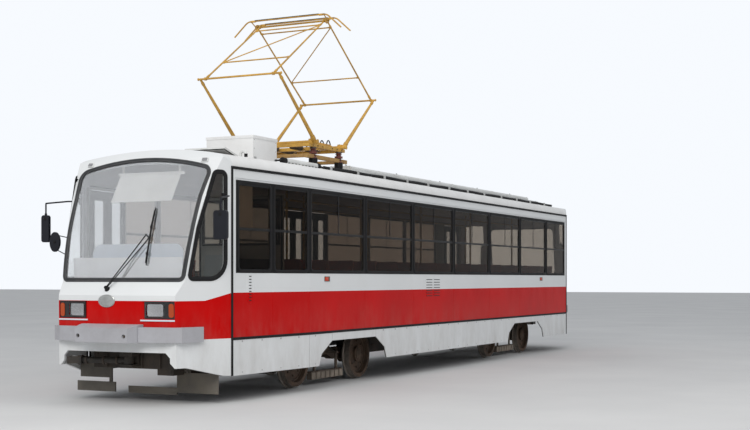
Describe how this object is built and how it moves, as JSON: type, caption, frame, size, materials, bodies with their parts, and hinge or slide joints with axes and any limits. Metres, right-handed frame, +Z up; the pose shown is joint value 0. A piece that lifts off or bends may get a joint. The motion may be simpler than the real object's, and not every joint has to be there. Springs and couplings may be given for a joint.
{
  "type": "four-axle tram car",
  "caption": "Single tram car with a raked front, folding doors on one side, swivelling bogies and a raised diamond pantograph on the roof.",
  "frame": {"origin": "on the floor under the middle of the overall box, midway between the front bumper and the rear coupler", "axes": "+Y along the car towards its rear, +X towards its own left side, +Z up"},
  "size_m": [2.795, 15.72, 5.4559],
  "materials": {
    "body_paint": "satin",
    "skirt_paint": "satin",
    "roof_paint": "matt",
    "mask_gelcoat": "gloss",
    "glass": "gloss",
    "windscreen_glass": "gloss",
    "bumper_grey": "satin",
    "black_plastic": "matt",
    "clear_lens": "gloss",
    "amber_lens": "gloss",
    "red_lens": "gloss",
    "roof_white": "satin",
    "pantograph_ochre": "satin",
    "insulator_brown": "gloss",
    "frame_dark": "dirty matt",
    "bogie_brown": "dirty matt",
    "wheel_steel": "worn tread",
    "brake_rust": "rusty",
    "floor_grey": "matt",
    "seat_shell": "satin",
    "pole_yellow": "satin",
    "interior_panel": "satin",
    "desk_grey": "matt",
    "board_blank": "matt",
    "guard_timber": "weathered",
    "coupler_black": "matt",
    "door_paint": "satin"
  },
  "bodies": {
    "car_body": {"underframe": "frame_dark", "floor": "floor_grey", "door_steps": "floor_grey", "side_wall_left": "body_paint", "side_wall_right": "body_paint", "skirts_left": "skirt_paint", "skirts_right": "skirt_paint", "front_mask": "mask_gelcoat", "rear_cap": "mask_gelcoat", "roof_shell": "roof_paint", "side_windows": "glass", "windscreen": "windscreen_glass", "end_windows": "glass", "bumpers": "bumper_grey", "lamp_bezels": "black_plastic", "head_lamps": "clear_lens", "turn_lamps": "amber_lens", "tail_lamps": "red_lens", "roof_unit": "roof_white", "roof_walkway": "roof_white", "pantograph_base": "pantograph_ochre", "pantograph_insulators": "insulator_brown", "seats": "seat_shell", "grab_poles": "pole_yellow", "cab_partition": "interior_panel", "cab_desk": "desk_grey", "route_board": "board_blank", "underfloor_cases": "frame_dark", "guard_board": "guard_timber", "mirrors": "black_plastic", "wiper": "black_plastic"},
    "front_bogie": {"front_bogie_frame": "bogie_brown", "front_track_brakes": "brake_rust"},
    "rear_bogie": {"rear_bogie_frame": "bogie_brown", "rear_track_brakes": "brake_rust"},
    "wheelset_1": {"wheelset_1": "wheel_steel"},
    "wheelset_2": {"wheelset_2": "wheel_steel"},
    "wheelset_3": {"wheelset_3": "wheel_steel"},
    "wheelset_4": {"wheelset_4": "wheel_steel"},
    "door_front_post_leaf": {"door_front_post_leaf": "door_paint"},
    "door_front_free_leaf": {"door_front_free_leaf": "door_paint"},
    "door_middle_fore_post_leaf": {"door_middle_fore_post_leaf": "door_paint"},
    "door_middle_fore_free_leaf": {"door_middle_fore_free_leaf": "door_paint"},
    "door_middle_aft_post_leaf": {"door_middle_aft_post_leaf": "door_paint"},
    "door_middle_aft_free_leaf": {"door_middle_aft_free_leaf": "door_paint"},
    "door_rear_post_leaf": {"door_rear_post_leaf": "door_paint"},
    "door_rear_free_leaf": {"door_rear_free_leaf": "door_paint"},
    "pantograph_lower_front": {"pantograph_lower_front": "pantograph_ochre"},
    "pantograph_upper_front": {"pantograph_upper_front": "pantograph_ochre"},
    "pantograph_lower_rear": {"pantograph_lower_rear": "pantograph_ochre"},
    "pantograph_upper_rear": {"pantograph_upper_rear": "pantograph_ochre"},
    "pantograph_head": {"pantograph_head": "pantograph_ochre"},
    "roof_hatch": {"roof_hatch": "roof_white"},
    "front_coupler": {"front_coupler": "coupler_black"},
    "rear_coupler": {"rear_coupler": "coupler_black"}
  },
  "joints": [
    {"name": "front_bogie_swivel", "type": "hinge", "parent": "car_body", "child": "front_bogie", "pos_m": [0, -3.66, 0.664], "axis": [0, 0, 1], "range_deg": [-12, 12]},
    {"name": "rear_bogie_swivel", "type": "hinge", "parent": "car_body", "child": "rear_bogie", "pos_m": [0, 3.84, 0.664], "axis": [0, 0, 1], "range_deg": [-12, 12]},
    {"name": "wheelset_1_spin", "type": "hinge", "parent": "front_bogie", "child": "wheelset_1", "pos_m": [0, -4.63, 0.379], "axis": [1, 0, 0], "continuous": true},
    {"name": "wheelset_2_spin", "type": "hinge", "parent": "front_bogie", "child": "wheelset_2", "pos_m": [0, -2.69, 0.379], "axis": [1, 0, 0], "continuous": true},
    {"name": "wheelset_3_spin", "type": "hinge", "parent": "rear_bogie", "child": "wheelset_3", "pos_m": [0, 2.87, 0.379], "axis": [1, 0, 0], "continuous": true},
    {"name": "wheelset_4_spin", "type": "hinge", "parent": "rear_bogie", "child": "wheelset_4", "pos_m": [0, 4.81, 0.379], "axis": [1, 0, 0], "continuous": true},
    {"name": "door_front_swing", "type": "hinge", "parent": "car_body", "child": "door_front_post_leaf", "pos_m": [-1.18107, -5.91446, 1.524], "axis": [0, 0, -1], "range_deg": [0, 85]},
    {"name": "door_front_fold", "type": "hinge", "parent": "door_front_post_leaf", "child": "door_front_free_leaf", "pos_m": [-1.10376, -6.28333, 1.524], "axis": [0, 0, -1], "range_deg": [-170, 0]},
    {"name": "door_middle_fore_swing", "type": "hinge", "parent": "car_body", "child": "door_middle_fore_post_leaf", "pos_m": [-1.238, -1.559, 1.524], "axis": [0, 0, 1], "range_deg": [0, 85]},
    {"name": "door_middle_fore_fold", "type": "hinge", "parent": "door_middle_fore_post_leaf", "child": "door_middle_fore_free_leaf", "pos_m": [-1.184, -1.186, 1.524], "axis": [0, 0, 1], "range_deg": [-170, 0]},
    {"name": "door_middle_aft_swing", "type": "hinge", "parent": "car_body", "child": "door_middle_aft_post_leaf", "pos_m": [-1.238, 0.009, 1.524], "axis": [0, 0, -1], "range_deg": [0, 85]},
    {"name": "door_middle_aft_fold", "type": "hinge", "parent": "door_middle_aft_post_leaf", "child": "door_middle_aft_free_leaf", "pos_m": [-1.184, -0.364, 1.524], "axis": [0, 0, -1], "range_deg": [-170, 0]},
    {"name": "door_rear_swing", "type": "hinge", "parent": "car_body", "child": "door_rear_post_leaf", "pos_m": [-1.238, 5.517, 1.524], "axis": [0, 0, 1], "range_deg": [0, 85]},
    {"name": "door_rear_fold", "type": "hinge", "parent": "door_rear_post_leaf", "child": "door_rear_free_leaf", "pos_m": [-1.184, 5.89, 1.524], "axis": [0, 0, 1], "range_deg": [-170, 0]},
    {"name": "pantograph_raise", "type": "hinge", "parent": "car_body", "child": "pantograph_lower_front", "pos_m": [0, -3.76, 3.524], "axis": [-1, 0, 0], "range_deg": [-33.4, 15]},
    {"name": "front_knee", "type": "hinge", "parent": "pantograph_lower_front", "child": "pantograph_upper_front", "pos_m": [0, -4.79546, 4.37454], "axis": [1, 0, 0], "range_deg": [-62.3, 28]},
    {"name": "head_level", "type": "hinge", "parent": "pantograph_upper_front", "child": "pantograph_head", "pos_m": [0, -3.31187, 5.37606], "axis": [1, 0, 0], "range_deg": [-13, 28.9]},
    {"name": "rear_foot", "type": "hinge", "parent": "car_body", "child": "pantograph_lower_rear", "pos_m": [0, -2.86, 3.524], "axis": [1, 0, 0], "range_deg": [-33.5, 15.1]},
    {"name": "rear_knee", "type": "hinge", "parent": "pantograph_lower_rear", "child": "pantograph_upper_rear", "pos_m": [0, -1.82454, 4.37454], "axis": [-1, 0, 0], "range_deg": [-62.3, 28]},
    {"name": "roof_hatch_tilt", "type": "hinge", "parent": "car_body", "child": "roof_hatch", "pos_m": [0, -5.305, 3.179], "axis": [-1, 0, 0], "range_deg": [-15, 25]},
    {"name": "front_coupler_swing", "type": "hinge", "parent": "car_body", "child": "front_coupler", "pos_m": [0, -7.31, 0.524], "axis": [0, 0, 1], "range_deg": [0, 100]},
    {"name": "rear_coupler_swing", "type": "hinge", "parent": "car_body", "child": "rear_coupler", "pos_m": [0, 6.89, 0.524], "axis": [0, 0, 1], "range_deg": [-25, 25]}
  ],
  "couplings": [
    {"joint": "door_front_fold", "follows": "door_front_swing", "ratio": -2},
    {"joint": "door_middle_fore_fold", "follows": "door_middle_fore_swing", "ratio": -2},
    {"joint": "door_middle_aft_fold", "follows": "door_middle_aft_swing", "ratio": -2},
    {"joint": "door_rear_fold", "follows": "door_rear_swing", "ratio": -2},
    {"joint": "front_knee", "follows": "pantograph_raise", "ratio": 1.8635},
    {"joint": "head_level", "follows": "pantograph_raise", "ratio": -0.8635},
    {"joint": "rear_foot", "follows": "pantograph_raise", "ratio": 1},
    {"joint": "rear_knee", "follows": "pantograph_raise", "ratio": 1.8635}
  ]
}
